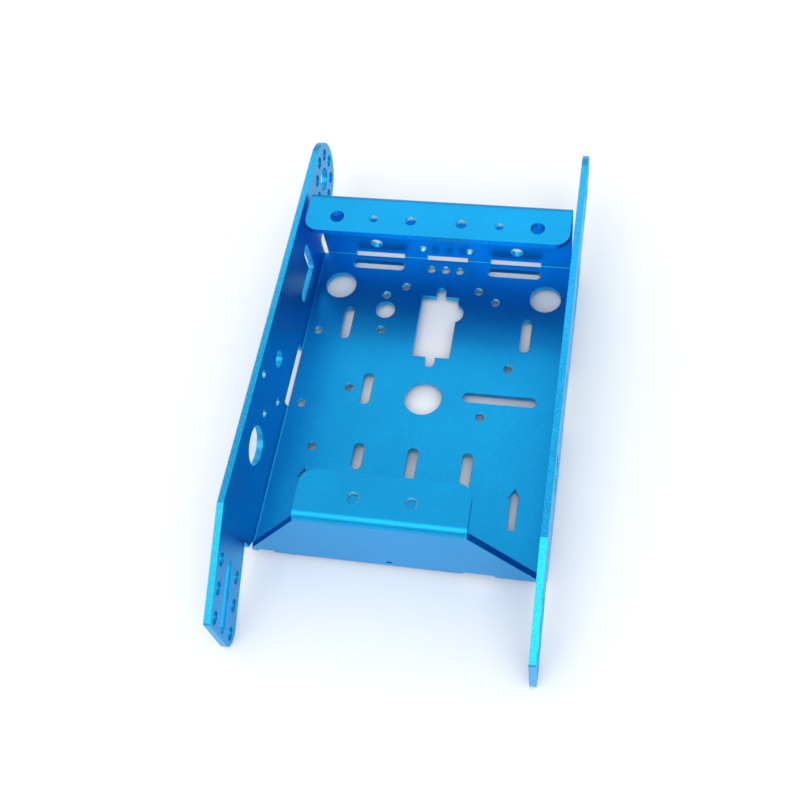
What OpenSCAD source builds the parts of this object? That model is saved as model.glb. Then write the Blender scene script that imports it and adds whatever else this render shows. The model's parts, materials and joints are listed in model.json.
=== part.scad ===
// Folded sheet chassis tray: floor, two side walls with four mounting lugs,
// front and rear walls with inward top flanges. All sizes in millimetres.
// +X right, +Y front (the way the arrow cut-outs point), +Z up.

/* [Sheet] */
// Sheet thickness
sheet_t = 2; // [1.5:0.1:2.5]
// Inside radius of every bend
bend_r = 0.6; // [0.5:0.1:1.2]

/* [Tray] */
// Width between the inner faces of the side walls
inner_w = 86; // [84:0.5:92]
// Length between the inner faces of the front and rear walls
inner_l = 108; // [106:0.5:112]
// Height of the side wall tops above the floor top
side_h = 31; // [30:0.5:36]
// Height of the front flange top above the floor top
front_h = 29.5; // [28:0.5:31]
// Height of the rear flange top above the floor top
rear_h = 31; // [29:0.5:32]
// Width of the front wall and its flange
front_w = 83.8; // [82:0.2:84]
// Width of the rear wall at the floor
rear_base_w = 84.6; // [82:0.2:85]
// Width of the rear top flange
rear_flange_w = 48; // [44:0.5:56]
// Depth of the front top flange from the wall's outer face
front_flange_d = 15.2; // [14:0.2:16]
// Depth of the rear top flange from the wall's outer face
rear_flange_d = 14.8; // [13:0.2:18]
// Corner radius of the free corners of both flanges
flange_corner_r = 4.5; // [1:0.5:5]

/* [Front lugs] */
// Distance of the lug ring centre from the tray centre
lug_y = 70; // [69:0.5:76]
// Radius of the rounded lug end
lug_r = 12; // [11.5:0.5:12]
// Pitch circle diameter of the lug hole ring
ring_pcd = 16; // [15:0.5:17]
// Diameter of each ring hole
ring_hole_d = 3.8; // [3:0.1:4]
// Diameter of the lug centre hole
lug_bore_d = 7.5; // [6:0.1:8]

/* [Rear lugs] */
// Slope of the rear lugs below level, in degrees
lug_slope = 24; // [22:0.5:26]
// Distance of the upper end corner from the tray centre
lug_end = 84.3; // [84:0.1:88]
// Diameter of the rear lug holes
lug_hole_d = 3.8; // [3:0.1:4]
// Vertical distance between paired rear lug holes
lug_pair_z = 15.4; // [14:0.1:16]
// Level distance from one pair of rear lug holes to the next
lug_pitch_y = 7.3; // [7:0.1:7.6]
// Width of the sloped slot between the hole rows
lug_slot_w = 4; // [3:0.1:4.4]

/* [Floor cut-outs] */
// Width of the servo opening
servo_w = 12.4; // [12:0.1:13]
// Length of the servo opening without its end notches
servo_l = 23.6; // [22.8:0.1:24]
// Distance of the servo opening's centre from the tray centre
servo_y = 26.9; // [26:0.1:28]
// Diameter of the floor's centre hole
centre_d = 11.9; // [10:0.1:14]
// Diameter of the two outer floor holes
outer_hole_d = 10.2; // [8:0.1:12]
// Diameter of small screw holes
screw_d = 3; // [2.5:0.1:3.4]
// Width of the long adjusting slots
slot_w = 3.3; // [3:0.1:3.6]

/* [Hidden] */
$fn = 64;
e = 1;
hx = inner_w / 2;
hy = inner_l / 2;
// bend tangent lines
tx = hx - bend_r;
ty = hy - bend_r;
bend_o = bend_r + sheet_t;
slope = tan(lug_slope);
lug_z = side_h - lug_r;
// wall lower edge at the front and rear bend slots
slot_top = 1.4;
// wall lower edge and inner edge of the side bend slots
side_slot_top = 2.6;
side_slot_x = 42.6;
// rear lug corners as [y, z]: top end, lower end, lower edge start
low_start = [-hy - 2.1, 6.6];
end_top = [-lug_end, side_h - slope * (lug_end - hy)];
end_low = [-lug_end - 1.2, low_start[1] - slope * (lug_end + 1.2 + low_start[0])];
end_low_r = 4;
end_top_r = 1;
// centre of the lower end rounding
low_c = round_c(end_top, end_low, low_start, end_low_r);
y_min = low_c[0] - end_low_r;
y_max = lug_y + lug_r;
z_min = low_c[1] - end_low_r;
y_mid = (y_max + y_min) / 2;

// corner rounding: unit vector, half angle, tangent point and arc centre
function unit(v) = v / norm(v);
function half_ang(a, b, c) = acos(unit(a - b) * unit(c - b)) / 2;
function tan_pt(a, b, c, r) = b + unit(a - b) * (r / tan(half_ang(a, b, c)));
function round_c(a, b, c, r) = b + unit(unit(a - b) + unit(c - b)) * (r / sin(half_ang(a, b, c)));
function at(p, i) = p[(i + len(p)) % len(p)];

// polygon with every corner i rounded to radius r[i]; 0 keeps a sharp corner
module rounded(p, r) {
    n = len(p);
    polygon([for (i = [0 : n - 1]) each (r[i] > 0
        ? [tan_pt(at(p, i - 1), p[i], at(p, i + 1), r[i]),
           tan_pt(at(p, i + 1), p[i], at(p, i - 1), r[i])]
        : [p[i]])]);
    for (i = [0 : n - 1])
        if (r[i] > 0)
            translate(round_c(at(p, i - 1), p[i], at(p, i + 1), r[i])) circle(r[i]);
}

// slot with round ends between two centres, w wide
module slot2(a, b, w) {
    v = unit(b - a) * w / 2;
    s = [-v[1], v[0]];
    polygon([a + s, a - s, b - s, b + s]);
    translate(a) circle(w / 2);
    translate(b) circle(w / 2);
}

module dot(x, y, d) {
    translate([x, y]) circle(d = d);
}

// plate w wide from y = 0 to y = d, with both far corners rounded to radius r
module round_plate(w, d, r) {
    translate([-w / 2, 0]) square([w, d - r]);
    translate([-w / 2 + r, 0]) square([w - 2 * r, d]);
    for (s = [-1, 1])
        translate([s * (w / 2 - r), d - r]) circle(r);
}

// moves the finished part so the origin is under the middle of its box
module placed() {
    translate([0, -y_mid, -z_min]) children();
}

// plan outline to a solid between z0 and z1
module plan(z0, z1) {
    translate([0, 0, z0]) linear_extrude(z1 - z0) children();
}

// outline drawn in (y, z) to a sheet on the left side; s = 1 mirrors it to the right
module side_sheet(s) {
    mirror([s > 0 ? 1 : 0, 0, 0])
        translate([-hx - sheet_t, 0, 0]) rotate([90, 0, 90]) linear_extrude(sheet_t) children();
}

// outline drawn in (x, z) to a sheet from y0 to y0 + sheet_t
module cross_sheet(y0) {
    translate([0, y0 + sheet_t, 0]) rotate([90, 0, 0]) linear_extrude(sheet_t) children();
}

// quarter ring profile about the origin in the quadrant (sx, sy)
module quarter(sx, sy) {
    intersection() {
        difference() {
            circle(bend_o);
            circle(bend_r);
        }
        translate([sx > 0 ? 0 : -bend_o - e, sy > 0 ? 0 : -bend_o - e]) square(bend_o + e);
    }
}

// bend along x: profile in (y, z) about [cy, cz]
module bend_x(cy, cz, sy, sz, w) {
    translate([-w / 2, cy, cz]) rotate([90, 0, 90]) linear_extrude(w) quarter(sy, sz);
}

// bend along y: profile in (x, z) about [cx, cz]
module bend_y(cx, cz, sx, sz, l) {
    translate([cx, l / 2, cz]) rotate([90, 0, 0]) linear_extrude(l) quarter(sx, sz);
}

// rectangular slots along the four floor bends
module bend_slots() {
    h = sheet_t + slot_top;
    translate([-31.8, ty, -sheet_t]) cube([17, 6, h]);
    translate([14.8, ty, -sheet_t]) cube([17, 6, h]);
    translate([-7, ty, -sheet_t]) cube([14, 6, h]);
    translate([-41, -ty - 6, -sheet_t]) cube([5.4, 6, h]);
    translate([20.6, -ty - 6, -sheet_t]) cube([9.4, 6, h]);
    for (s = [-1, 1])
        translate([s * (side_slot_x + 3) - 3, -7, -sheet_t])
            cube([6, 21.4, sheet_t + side_slot_top]);
}

module arrow(x, y) {
    translate([x, y]) polygon([[0, 0], [-2, -3.4], [-1.15, -3.4], [-1.15, -13.3],
        [1.15, -13.3], [1.15, -3.4], [2, -3.4]]);
}

module servo_opening() {
    y0 = servo_y - servo_l / 2;
    y1 = servo_y + servo_l / 2;
    translate([-servo_w / 2, y0]) square([servo_w, servo_l]);
    slot2([0, y0 - 2], [0, y1 + 2], 3.2);
    dot(servo_w / 2 - 1.3, servo_y + 5.6, 7);
}

module floor_holes() {
    servo_opening();
    dot(0, 0, centre_d);
    for (s = [-1, 1]) {
        dot(s * 34.6, 40.6, outer_hole_d);
        dot(s * 4.8, 49.6, screw_d);
        dot(s * 12.3, 41.8, screw_d);
        dot(s * 18.4, 37.9, screw_d);
        slot2([s * 15.9, 49.9], [s * 30.5, 49.9], slot_w);
        slot2([s * 29.7, 21.3], [s * 29.7, 30.5], slot_w);
        arrow(s * 32.6, -27.9);
    }
    dot(0, 49.6, screw_d);
    dot(-17.8, 32, 6.5);
    dot(-38.8, 22.1, screw_d);
    dot(-18.1, 24.1, screw_d);
    dot(-24.4, 1.7, screw_d);
    dot(-38.7, -5.5, screw_d);
    dot(-32, -20.3, screw_d);
    dot(25.5, 13.1, screw_d);
    dot(18.9, -5, screw_d);
    slot2([-18.6, -2.4], [-18.6, 5.8], slot_w);
    slot2([-17, -25], [-17, -19.3], slot_w);
    slot2([0, -28.4], [0, -19.3], slot_w);
    slot2([17, -28.4], [17, -19.3], slot_w);
    slot2([14.1, 1.6], [34, 1.6], slot_w + 0.1);
}

module floor_solid() {
    plan(-sheet_t, 0) difference() {
        translate([-tx, -ty]) square([2 * tx, 2 * ty]);
        floor_holes();
    }
}

module side_bend(s) {
    difference() {
        bend_y(s * tx, bend_r, s, -1, 2 * ty);
        bend_slots();
    }
}

// side wall holes in (y, z)
module side_holes() {
    dot(-30.1, 17.8, 12);
    dot(-19.3, 17.7, screw_d);
    dot(-10.75, 26.4, screw_d);
    dot(-10.75, 9, screw_d);
    dot(-0.1, 17.3, 6);
    // L-shaped window, a level leg and an upright leg
    slot2([28.9, 9.8], [40.5, 9.8], 4.6);
    slot2([40.5, 9.7], [40.5, 17.9], 4.4);
}

module side_wall(s) {
    difference() {
        side_sheet(s) difference() {
            translate([-hy, bend_r]) square([inner_l, side_h - bend_r]);
            side_holes();
            // relief where the sheet passes the end of the front wall
            slot2([hy + 0.7, -4], [hy + 0.7, 5.4], 2.6);
        }
        bend_slots();
    }
}

module front_lug(s) {
    side_sheet(s) difference() {
        union() {
            translate([hy, side_h - 2 * lug_r]) square([lug_y - hy, 2 * lug_r]);
            translate([lug_y, lug_z]) circle(lug_r);
        }
        dot(lug_y, lug_z, lug_bore_d);
        for (a = [0 : 45 : 315])
            dot(lug_y + ring_pcd / 2 * cos(a), lug_z + ring_pcd / 2 * sin(a), ring_hole_d);
    }
}

module rear_lug(s) {
    a1 = [-66.8, 21.6];
    side_sheet(s) difference() {
        rounded([[-hy, side_h], end_top, end_low, low_start, [-hy - 2.1, 2.2],
            [-hy, bend_r]], [0, end_top_r, end_low_r, 0, 0, 0]);
        for (i = [0 : 2], j = [0, 1])
            dot(a1[0] - i * lug_pitch_y,
                a1[1] - i * lug_pitch_y * slope - j * lug_pair_z, lug_hole_d);
        slot2([-66.5, 13.9], [-81.5, 13.9 - 15 * slope], lug_slot_w);
    }
}

module front_wall_solid() {
    difference() {
        cross_sheet(hy) difference() {
            translate([-front_w / 2, bend_r]) square([front_w, front_h - bend_o - bend_r]);
            for (s = [-1, 1]) {
                dot(s * 23.8, 6.3, 4.2);
                dot(s * 7.9, 5, screw_d);
            }
        }
        bend_slots();
    }
}

module front_flange_solid() {
    plan(front_h - sheet_t, front_h) difference() {
        translate([0, ty]) mirror([0, 1])
            round_plate(front_w, front_flange_d - bend_o, flange_corner_r);
        for (s = [-1, 1]) {
            dot(s * 31.8, 46.5, 4.4);
            dot(s * 19.9, 46.5, 2.8);
            dot(s * 8, 46.5, 3.6);
        }
    }
}

module rear_wall_solid() {
    b = rear_base_w / 2;
    f = rear_flange_w / 2;
    top = rear_h - bend_o;
    difference() {
        cross_sheet(-hy - sheet_t) difference() {
            polygon([[-b, bend_r], [b, bend_r], [b, 1.9], [f, top], [-f, top], [-b, 1.9]]);
            dot(-0.6, 2.6, 1.6);
        }
        bend_slots();
    }
}

module rear_flange_solid() {
    plan(rear_h - sheet_t, rear_h) difference() {
        translate([0, -ty])
            round_plate(rear_flange_w, rear_flange_d - bend_o, flange_corner_r);
        for (s = [-1, 1])
            dot(s * 8, -48.7, 3.4);
    }
}

module floor_panel() {
    color("dodgerblue") placed() floor_solid();
}

module left_side_bend() {
    color("royalblue") placed() side_bend(-1);
}

module right_side_bend() {
    color("royalblue") placed() side_bend(1);
}

module front_bend() {
    color("royalblue") placed() difference() {
        bend_x(ty, bend_r, 1, -1, front_w);
        bend_slots();
    }
}

module rear_bend() {
    color("royalblue") placed() difference() {
        bend_x(-ty, bend_r, -1, -1, rear_base_w);
        bend_slots();
    }
}

module left_side_wall() {
    color("steelblue") placed() side_wall(-1);
}

module right_side_wall() {
    color("steelblue") placed() side_wall(1);
}

module left_front_lug() {
    color("deepskyblue") placed() front_lug(-1);
}

module right_front_lug() {
    color("deepskyblue") placed() front_lug(1);
}

module left_rear_lug() {
    color("cornflowerblue") placed() rear_lug(-1);
}

module right_rear_lug() {
    color("cornflowerblue") placed() rear_lug(1);
}

module front_wall() {
    color("steelblue") placed() front_wall_solid();
}

module front_flange_bend() {
    color("royalblue") placed() bend_x(ty, front_h - bend_o, 1, 1, front_w);
}

module front_top_flange() {
    color("deepskyblue") placed() front_flange_solid();
}

module rear_wall() {
    color("steelblue") placed() rear_wall_solid();
}

module rear_flange_bend() {
    color("royalblue") placed() bend_x(-ty, rear_h - bend_o, -1, 1, rear_flange_w);
}

module rear_top_flange() {
    color("deepskyblue") placed() rear_flange_solid();
}

floor_panel();
left_side_bend();
right_side_bend();
front_bend();
rear_bend();
left_side_wall();
right_side_wall();
left_front_lug();
right_front_lug();
left_rear_lug();
right_rear_lug();
front_wall();
front_flange_bend();
front_top_flange();
rear_wall();
rear_flange_bend();
rear_top_flange();
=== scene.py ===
import json
import math

import bmesh
import bpy
from mathutils import Matrix, Vector


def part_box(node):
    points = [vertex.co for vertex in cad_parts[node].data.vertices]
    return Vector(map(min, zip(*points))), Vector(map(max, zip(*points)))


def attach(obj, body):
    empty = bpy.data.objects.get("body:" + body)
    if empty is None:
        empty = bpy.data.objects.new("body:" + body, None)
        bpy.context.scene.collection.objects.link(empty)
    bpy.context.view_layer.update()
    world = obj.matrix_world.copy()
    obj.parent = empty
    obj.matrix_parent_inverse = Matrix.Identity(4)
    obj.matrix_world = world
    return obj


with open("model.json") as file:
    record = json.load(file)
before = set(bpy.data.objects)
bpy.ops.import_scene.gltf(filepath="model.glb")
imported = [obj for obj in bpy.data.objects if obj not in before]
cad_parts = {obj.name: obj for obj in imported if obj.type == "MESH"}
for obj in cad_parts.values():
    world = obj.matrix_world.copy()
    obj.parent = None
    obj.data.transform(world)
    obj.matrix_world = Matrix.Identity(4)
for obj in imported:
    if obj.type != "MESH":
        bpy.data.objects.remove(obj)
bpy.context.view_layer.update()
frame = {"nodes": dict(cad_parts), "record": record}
scene = bpy.context.scene
MM = 0.001

# weld distance and seam tolerance in metres, angles in radians
WELD = 0.002 * MM
ON_SEAM = 0.01 * MM
STRAIGHT = 0.9999
SHARP_ANGLE = math.radians(32)
FLAT_ANGLE = math.radians(0.5)
EDGE_BREAK = 0.14 * MM

# tapped threads
PITCH = 0.5 * MM
RIDGE = 0.24 * MM
THREAD_HALF = 0.80 * MM
ROOT_GAP = 0.02 * MM
BACK_GAP = 0.05 * MM
TAPPED_MAX_R = 1.85
ROWS_PER_TURN = 6
COLS = 36

# ---------------------------------------------------------------- materials


def new_material(name):
    m = bpy.data.materials.new(name)
    m.use_nodes = True
    m.node_tree.nodes.clear()
    return m, m.node_tree.nodes, m.node_tree.links


def anodised(name, colour, rough, grain, grain_mm, mottle):
    """Blue anodised aluminium: blasted grain as bump and tone, slow tone drift."""
    m, n, l = new_material(name)
    out = n.new("ShaderNodeOutputMaterial")
    b = n.new("ShaderNodeBsdfPrincipled")
    b.inputs["Metallic"].default_value = 1.0
    b.inputs["IOR"].default_value = 1.5
    l.new(b.outputs[0], out.inputs[0])
    co = n.new("ShaderNodeTexCoord")

    def noise(size_mm, detail):
        t = n.new("ShaderNodeTexNoise")
        t.inputs["Scale"].default_value = 1 / (size_mm * MM)
        t.inputs["Detail"].default_value = detail
        t.inputs["Roughness"].default_value = 0.6
        l.new(co.outputs["Object"], t.inputs["Vector"])
        return t.outputs["Fac"]

    def spread(fac, lo, hi):
        r = n.new("ShaderNodeMapRange")
        r.inputs["From Min"].default_value = 0.3
        r.inputs["From Max"].default_value = 0.7
        r.inputs["To Min"].default_value = lo
        r.inputs["To Max"].default_value = hi
        l.new(fac, r.inputs["Value"])
        return r.outputs[0]

    fine, drift = noise(grain_mm, 3.0), noise(16.0, 2.0)
    tone = n.new("ShaderNodeMath")
    tone.operation = "MULTIPLY"
    l.new(spread(fine, 1 - mottle, 1 + mottle), tone.inputs[0])
    l.new(spread(drift, 0.96, 1.04), tone.inputs[1])
    tint = n.new("ShaderNodeVectorMath")
    tint.operation = "SCALE"
    tint.inputs[0].default_value = colour
    l.new(tone.outputs[0], tint.inputs["Scale"])
    l.new(tint.outputs[0], b.inputs["Base Color"])
    l.new(spread(fine, rough - 0.05, rough + 0.05), b.inputs["Roughness"])
    bump = n.new("ShaderNodeBump")
    bump.inputs["Strength"].default_value = grain
    bump.inputs["Distance"].default_value = 0.03 * MM
    l.new(fine, bump.inputs["Height"])
    l.new(bump.outputs[0], b.inputs["Normal"])
    return m


BLUE = (0.011, 0.345, 0.71)
EDGE = (0.016, 0.400, 0.76)
# Thread colour is paler and whiter than the sheet blue: a painted highlight standing in for
# glints on the thread ridges
THREAD_GLINT_TINT = (0.30, 0.70, 0.85)
sheet = anodised("anodised_sheet", BLUE, 0.38, 0.35, 0.40, 0.11)
cut = anodised("anodised_cut_edge", EDGE, 0.34, 0.8, 0.50, 0.28)
thread = anodised("thread_painted_glint", THREAD_GLINT_TINT, 0.20, 0.2, 0.50, 0.20)

# ------------------------------------------------- edge breaks on the CAD nodes

X, Y, Z = 0, 1, 2
# sheet normal of each flat node, then the axis of each bend
FLAT = {
    "floor_panel": Z, "left_side_wall": X, "right_side_wall": X,
    "left_front_lug": X, "right_front_lug": X, "left_rear_lug": X, "right_rear_lug": X,
    "front_wall": Y, "front_top_flange": Z, "rear_wall": Y, "rear_top_flange": Z,
}
BENDS = {
    "left_side_bend": Y, "right_side_bend": Y, "front_bend": X, "rear_bend": X,
    "front_flange_bend": X, "rear_flange_bend": X,
}


def seams(node):
    """Planes where this node meets its neighbour: (axis, value)."""
    lo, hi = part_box(node)
    if node == "floor_panel":
        return [(X, lo.x), (X, hi.x), (Y, lo.y), (Y, hi.y)]
    if node.endswith("side_wall"):
        return [(Y, lo.y), (Y, hi.y), (Z, lo.z)]
    if node.endswith("front_lug"):
        return [(Y, lo.y)]
    if node.endswith("rear_lug"):
        return [(Y, hi.y)]
    if node in ("front_wall", "rear_wall"):
        return [(Z, lo.z), (Z, hi.z)]
    if node == "front_top_flange":
        return [(Y, hi.y)]
    if node == "rear_top_flange":
        return [(Y, lo.y)]
    if node.endswith("side_bend"):
        return [(Z, hi.z), (X, hi.x if node.startswith("left") else lo.x)]
    if node == "front_bend":
        return [(Z, hi.z), (Y, lo.y)]
    if node == "rear_bend":
        return [(Z, hi.z), (Y, hi.y)]
    if node == "front_flange_bend":
        return [(Z, lo.z), (Y, lo.y)]
    return [(Z, lo.z), (Y, hi.y)]


def edge_group(node):
    """Geometry nodes: weld, mark sharp edges, and give each sharp edge that isn't
    on a seam a weight for the bevel that follows."""
    g = bpy.data.node_groups.new(node + "_edges", "GeometryNodeTree")
    g.interface.new_socket("Geometry", in_out="INPUT", socket_type="NodeSocketGeometry")
    g.interface.new_socket("Geometry", in_out="OUTPUT", socket_type="NodeSocketGeometry")
    n, l = g.nodes, g.links
    gi, go = n.new("NodeGroupInput"), n.new("NodeGroupOutput")
    weld = n.new("GeometryNodeMergeByDistance")
    weld.inputs["Distance"].default_value = WELD
    l.new(gi.outputs[0], weld.inputs["Geometry"])
    rem = n.new("GeometryNodeRemoveAttribute")
    rem.inputs["Name"].default_value = "custom_normal"
    l.new(weld.outputs[0], rem.inputs["Geometry"])
    ang = n.new("GeometryNodeInputMeshEdgeAngle")
    sharp = n.new("FunctionNodeCompare")
    sharp.data_type = "FLOAT"
    sharp.operation = "GREATER_THAN"
    sharp.inputs["B"].default_value = SHARP_ANGLE
    l.new(ang.outputs["Unsigned Angle"], sharp.inputs["A"])
    st = n.new("GeometryNodeStoreNamedAttribute")
    st.data_type = "BOOLEAN"
    st.domain = "EDGE"
    st.inputs["Name"].default_value = "sharp_edge"
    l.new(rem.outputs[0], st.inputs["Geometry"])
    l.new(sharp.outputs["Result"], st.inputs["Value"])
    ev = n.new("GeometryNodeInputMeshEdgeVertices")
    keep = sharp.outputs["Result"]
    for axis, value in seams(node):
        on = []
        for which in ("Position 1", "Position 2"):
            sep = n.new("ShaderNodeSeparateXYZ")
            l.new(ev.outputs[which], sep.inputs[0])
            near = n.new("FunctionNodeCompare")
            near.data_type = "FLOAT"
            near.operation = "EQUAL"
            near.inputs["B"].default_value = value
            near.inputs["Epsilon"].default_value = ON_SEAM
            l.new(sep.outputs[axis], near.inputs["A"])
            on.append(near.outputs["Result"])
        both = n.new("FunctionNodeBooleanMath")
        both.operation = "AND"
        l.new(on[0], both.inputs[0])
        l.new(on[1], both.inputs[1])
        less = n.new("FunctionNodeBooleanMath")
        less.operation = "NIMPLY"
        l.new(keep, less.inputs[0])
        l.new(both.outputs[0], less.inputs[1])
        keep = less.outputs[0]
    bw = n.new("GeometryNodeStoreNamedAttribute")
    bw.data_type = "FLOAT"
    bw.domain = "EDGE"
    bw.inputs["Name"].default_value = "bevel_weight_edge"
    l.new(st.outputs[0], bw.inputs["Geometry"])
    l.new(keep, bw.inputs["Value"])
    l.new(bw.outputs[0], go.inputs[0])
    return g


for name, obj in frame["nodes"].items():
    me = obj.data
    me.materials.clear()
    me.materials.append(sheet)
    me.materials.append(cut)
    for p in me.polygons:
        straight = [abs(v) > STRAIGHT for v in p.normal]
        if name in FLAT:
            p.material_index = 0 if straight[FLAT[name]] else 1
        else:
            p.material_index = 1 if straight[BENDS[name]] else 0
        p.use_smooth = not any(straight)
    weld = obj.modifiers.new("weld", "WELD")
    weld.merge_threshold = WELD
    flat = obj.modifiers.new("merge_flats", "DECIMATE")
    flat.decimate_type = "DISSOLVE"
    flat.angle_limit = FLAT_ANGLE
    flat.delimit = {"MATERIAL"}
    gn = obj.modifiers.new("edges", "NODES")
    gn.node_group = edge_group(name)
    bv = obj.modifiers.new("edge_break", "BEVEL")
    bv.limit_method = "WEIGHT"
    bv.width = EDGE_BREAK
    bv.segments = 2
    bv.use_clamp_overlap = True
    bv.loop_slide = False

# -------------------------------------------------------------- tapped threads


def tapped_holes():
    """Centre, axis and radius of each small screw hole in the record's mounts."""
    for m in frame["record"]["mounts"]:
        dims = m["dims"]
        r = dims.get("hole_r_mm", dims.get("r_mm", 99))
        if r > TAPPED_MAX_R or "slot_length_mm" in dims:
            continue
        spacing = Vector((dims.get("spacing_x_mm", 0), 0, dims.get("spacing_y_mm", 0)))
        step = spacing / 2 * MM
        for side in (-1, 1) if step.length else (1,):
            yield Vector(m["pos_m"]) + side * step, Vector(m["axis"]), r * MM


def thread_rings():
    """Screw-thread ridges inside each tapped hole, one closed ring of metal per hole."""
    verts, faces = [], []
    count = round(2 * THREAD_HALF / PITCH * ROWS_PER_TURN)
    for centre, axis, r in tapped_holes():
        u = axis.orthogonal().normalized()
        v = axis.cross(u)
        rows = [(-THREAD_HALF + 2 * THREAD_HALF * k / count, None) for k in range(count + 1)]
        rows += [(THREAD_HALF, r + BACK_GAP), (-THREAD_HALF, r + BACK_GAP)]
        base = len(verts)
        for k, (h, fixed) in enumerate(rows):
            for c in range(COLS):
                ang = 2 * math.pi * c / COLS
                turn = (h / PITCH - c / COLS) % 1.0
                end = k in (0, count)
                ridge = 0 if end else RIDGE * (1 - abs(2 * turn - 1))
                rad = fixed or r + ROOT_GAP - ridge
                out = u * math.cos(ang) + v * math.sin(ang)
                verts.append(centre + axis * h + out * rad)
        for k in range(len(rows)):
            for c in range(COLS):
                a, b = base + k * COLS, base + (k + 1) % len(rows) * COLS
                d = (c + 1) % COLS
                faces.append((a + c, b + c, b + d, a + d))
    me = bpy.data.meshes.new("tapped_threads")
    me.from_pydata(verts, [], faces)
    bm = bmesh.new()
    bm.from_mesh(me)
    bmesh.ops.recalc_face_normals(bm, faces=bm.faces)
    bm.to_mesh(me)
    bm.free()
    for p in me.polygons:
        p.use_smooth = True
    # the thread material carries a pale colour that is painted glint on the ridges
    me.materials.append(thread)
    obj = bpy.data.objects.new("tapped_threads", me)
    scene.collection.objects.link(obj)
    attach(obj, "root")


thread_rings()

# ------------------------------------------------------------- floor and light

ground_m, nodes, links = new_material("studio_floor")
surface = nodes.new("ShaderNodeOutputMaterial")
paint = nodes.new("ShaderNodeBsdfPrincipled")
paint.inputs["Base Color"].default_value = (0.93, 0.94, 0.95, 1)
paint.inputs["Roughness"].default_value = 0.6
links.new(paint.outputs[0], surface.inputs[0])
bpy.ops.mesh.primitive_plane_add(size=6, location=(0, 0, -0.2 * MM))
ground = bpy.context.object
ground.name = "studio_floor"
ground.data.materials.append(ground_m)


def area(name, loc, size, power):
    """A rectangular softbox aimed at the origin."""
    d = bpy.data.lights.new(name, "AREA")
    d.shape = "RECTANGLE"
    d.size, d.size_y = size
    d.energy = power
    o = bpy.data.objects.new(name, d)
    scene.collection.objects.link(o)
    o.location = loc
    o.rotation_euler = (-Vector(loc)).to_track_quat("-Z", "Y").to_euler()


world = bpy.data.worlds.new("studio")
world.use_nodes = True
wn, wl = world.node_tree.nodes, world.node_tree.links
sky = wn["Background"]
sky.inputs["Color"].default_value = (0.97, 0.985, 1.0, 1)
wco = wn.new("ShaderNodeTexCoord")
wsep = wn.new("ShaderNodeSeparateXYZ")
wmap = wn.new("ShaderNodeMapRange")
wmap.interpolation_type = "SMOOTHSTEP"
wmap.inputs["From Max"].default_value = 0.75
wmap.inputs["To Min"].default_value = 0.62
wmap.inputs["To Max"].default_value = 0.86
wl.new(wco.outputs["Generated"], wsep.inputs[0])
wl.new(wsep.outputs["Z"], wmap.inputs["Value"])
wl.new(wmap.outputs[0], sky.inputs["Strength"])
scene.world = world
area("key", (0.10, -0.62, 1.05), (1.3, 1.0), 7.2)
area("front_fill", (0.0, 0.95, 1.05), (1.2, 0.5), 1.6)

# ---------------------------------------------------------------------- camera

# degrees, metres, then the lens in pixels of an 800 px frame
AZ, EL, ROLL, DIST = 18.275, 60.76, -11.018, 0.32323
LENS_PX, FRAME_PX, SHIFT = 1025.85, 800, -0.05
SENSOR = 36.0
floor_lo, floor_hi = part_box("floor_panel")
mid_y = (floor_lo.y + floor_hi.y) / 2
aim = Vector((5.58 * MM, mid_y - 0.175 * MM, floor_hi.z))
a, e, r = (math.radians(v) for v in (AZ, EL, ROLL))
back = Vector((math.sin(a) * math.cos(e), -math.cos(a) * math.cos(e), math.sin(e)))
right = (-back).cross(Vector((0, 0, 1))).normalized()
up = right.cross(-back)
right, up = right * math.cos(r) + up * math.sin(r), -right * math.sin(r) + up * math.cos(r)
cam_d = bpy.data.cameras.new("camera")
cam_d.sensor_width = SENSOR
cam_d.lens = LENS_PX / FRAME_PX * SENSOR
cam_d.shift_x = SHIFT
cam_d.clip_start, cam_d.clip_end = 0.01, 20.0
cam = bpy.data.objects.new("camera", cam_d)
scene.collection.objects.link(cam)
turned = Matrix((right, up, back)).transposed().to_4x4()
cam.matrix_world = Matrix.Translation(aim + back * DIST) @ turned
scene.camera = cam

scene.view_settings.view_transform = "Standard"

bpy.context.view_layer.update()
